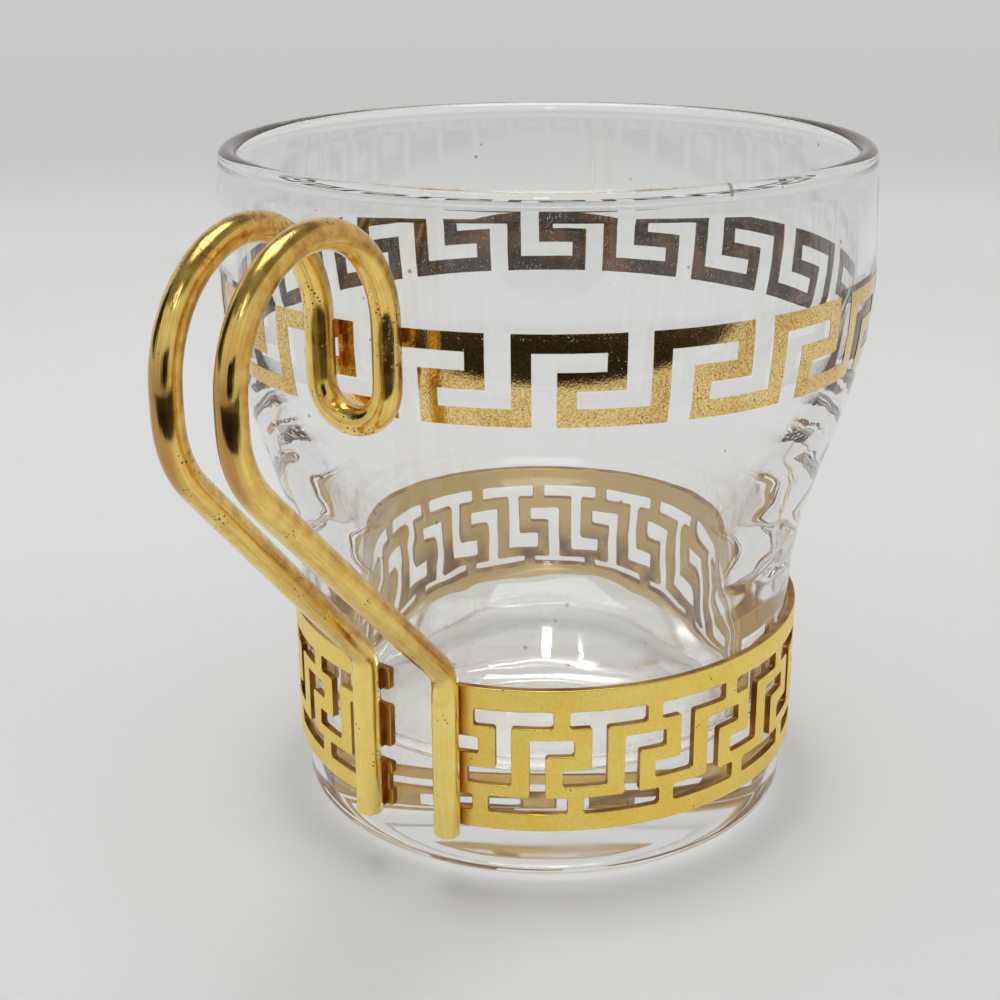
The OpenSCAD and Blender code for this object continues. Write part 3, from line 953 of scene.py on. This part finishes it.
def cove_profile():
    """Radius and height of the floor, the fillet and the wall."""
    floor = [(r, 0) for r in (0, 0.02, 0.05, 0.1, 0.2, 0.3)]
    fillet = arc(floor_reach - floor_fillet, floor_fillet, floor_fillet, -90, 0, 12)
    return floor + fillet + [(floor_reach, wall_top)]


def sheet_of(name, corners, material):
    """A flat face through the corners."""
    data = bpy.data.meshes.new(name)
    data.from_pydata(corners, [], [tuple(range(len(corners)))])
    data.materials.append(material)
    made = bpy.data.objects.new(name, data)
    bpy.context.scene.collection.objects.link(made)
    return made


def cove():
    """The floor and its wall, turned round the mug's axis."""
    count = 96
    mesh = bmesh.new()
    rings = []
    for radius, z in cove_profile():
        angles = [math.tau * i / count for i in range(count)] if radius else [0]
        rings.append([mesh.verts.new((radius * math.cos(t), radius * math.sin(t), z))
                      for t in angles])
    for inner, outer in zip(rings, rings[1:]):
        for i in range(count):
            j = (i + 1) % count
            corners = [inner[i % len(inner)], outer[i], outer[j], inner[j % len(inner)]]
            mesh.faces.new(list(dict.fromkeys(corners))).smooth = True
    data = bpy.data.meshes.new("cove")
    mesh.to_mesh(data)
    mesh.free()
    data.materials.append(pale_cove())
    made = bpy.data.objects.new("cove", data)
    bpy.context.scene.collection.objects.link(made)
    return made


def dark_cloth():
    """Nearly black brown cloth."""
    material, add = new_material("dark_cloth")
    place = add.node("ShaderNodeTexCoord", output="Object")
    weave = add.node("ShaderNodeTexNoise", {"Vector": place, "Scale": 40})
    cloth = add.node("ShaderNodeBsdfPrincipled", {
        "Base Color": weave.colour((0.012, 0.006, 0.003), (0.022, 0.011, 0.006)),
        "Roughness": 0.9,
    })
    add.node("ShaderNodeOutputMaterial", {"Surface": cloth})
    return material


def flag(name, points):
    """A dark flag, given in metres to the camera's right, towards it, and up."""
    aim = math.radians(30)
    right = Vector((math.cos(aim), math.sin(aim), 0))
    near = Vector((math.sin(aim), -math.cos(aim), 0))
    corners = [right * x + near * y + Vector((0, 0, z)) for x, y, z in points]
    made = sheet_of(name, corners, dark)
    made.visible_camera = False
    made.visible_diffuse = False
    made.visible_transmission = False
    made.visible_shadow = False
    return made


dark = dark_cloth()
cove()
flag("mat_flag", [(-0.6, 0.168, 0.0006), (0.6, 0.168, 0.0006), (0.6, 0.41, 0.0006),
                      (-0.6, 0.41, 0.0006)])
flag("side_flag", [(-0.39, -0.1, 0.1), (-0.39, 0.3, 0.1), (-0.39, 0.3, 0.4), (-0.39, -0.1, 0.4)])
flag("screen_flag", [(-0.6, 0.4, 0), (0.6, 0.4, 0), (0.6, 0.4, 0.16), (-0.6, 0.4, 0.16)])


def lamp(name, place, target, wide, tall, power):
    """A flat lamp at a place, turned to a target; its sides in metres and its power in watts."""
    light = bpy.data.lights.new(name, "AREA")
    light.shape = "RECTANGLE"
    light.size = wide
    light.size_y = tall
    light.energy = power
    made = bpy.data.objects.new(name, light)
    made.location = place
    made.rotation_euler = (Vector(target) - Vector(place)).to_track_quat("-Z", "Y").to_euler()
    bpy.context.scene.collection.objects.link(made)
    return made


lamp("overhead", (-0.1, 0.12, 0.85), (0, 0, 0.03), 0.45, 0.45, 2.3)
lamp("tall_strip", (0.27, -0.53, 0.46), (0, -0.05, 0.06), 0.05, 0.6, 0.5)
lamp("thin_strip", (0.0, -0.6, 0.46), (0, -0.05, 0.06), 0.02, 0.5, 0.1)

# The light of the room: plain grey, and dimmer where metal reflects it.
world = bpy.data.worlds.new("room")
bpy.context.scene.world = world
world.use_nodes = True
world.node_tree.nodes.clear()
sky = Socket(world.node_tree)
room_path = sky.node("ShaderNodeLightPath", output="Is Camera Ray")
room_seen = sky.sum("MAXIMUM", room_path, room_path.sibling("Is Transmission Ray"))
room_light = room_path.sibling("Is Glossy Ray").colour((0.74, 0.74, 0.74), (0.22, 0.21, 0.2))
room_colour = room_seen.colour(room_light, (0.62, 0.62, 0.61))
sky.node("ShaderNodeOutputWorld", {
    "Surface": sky.node("ShaderNodeBackground", {"Color": room_colour, "Strength": 1.0})})

# The camera stands where the photo's did, as fitted to the rim, the band, the handle and the foot.
photo_camera = bpy.data.cameras.new("camera")
photo_camera.sensor_width = 36
photo_camera.lens = 59.69
viewpoint = bpy.data.objects.new("camera", photo_camera)
viewpoint.matrix_world = (
    Matrix.Translation((0.10022, -0.18640, 0.11532))
    @ Matrix.Rotation(math.radians(29.912), 4, "Z")
    @ Matrix.Rotation(math.radians(90 - 19.931), 4, "X")
    @ Matrix.Rotation(-0.00544, 4, "Z"))
bpy.context.scene.collection.objects.link(viewpoint)
bpy.context.scene.camera = viewpoint
bpy.context.scene.view_settings.view_transform = "Standard"

# Light that is caught in the thick lower wall takes many turns before it comes out.
paths = bpy.context.scene.cycles
paths.max_bounces = 32
paths.glossy_bounces = 32
paths.transmission_bounces = 32
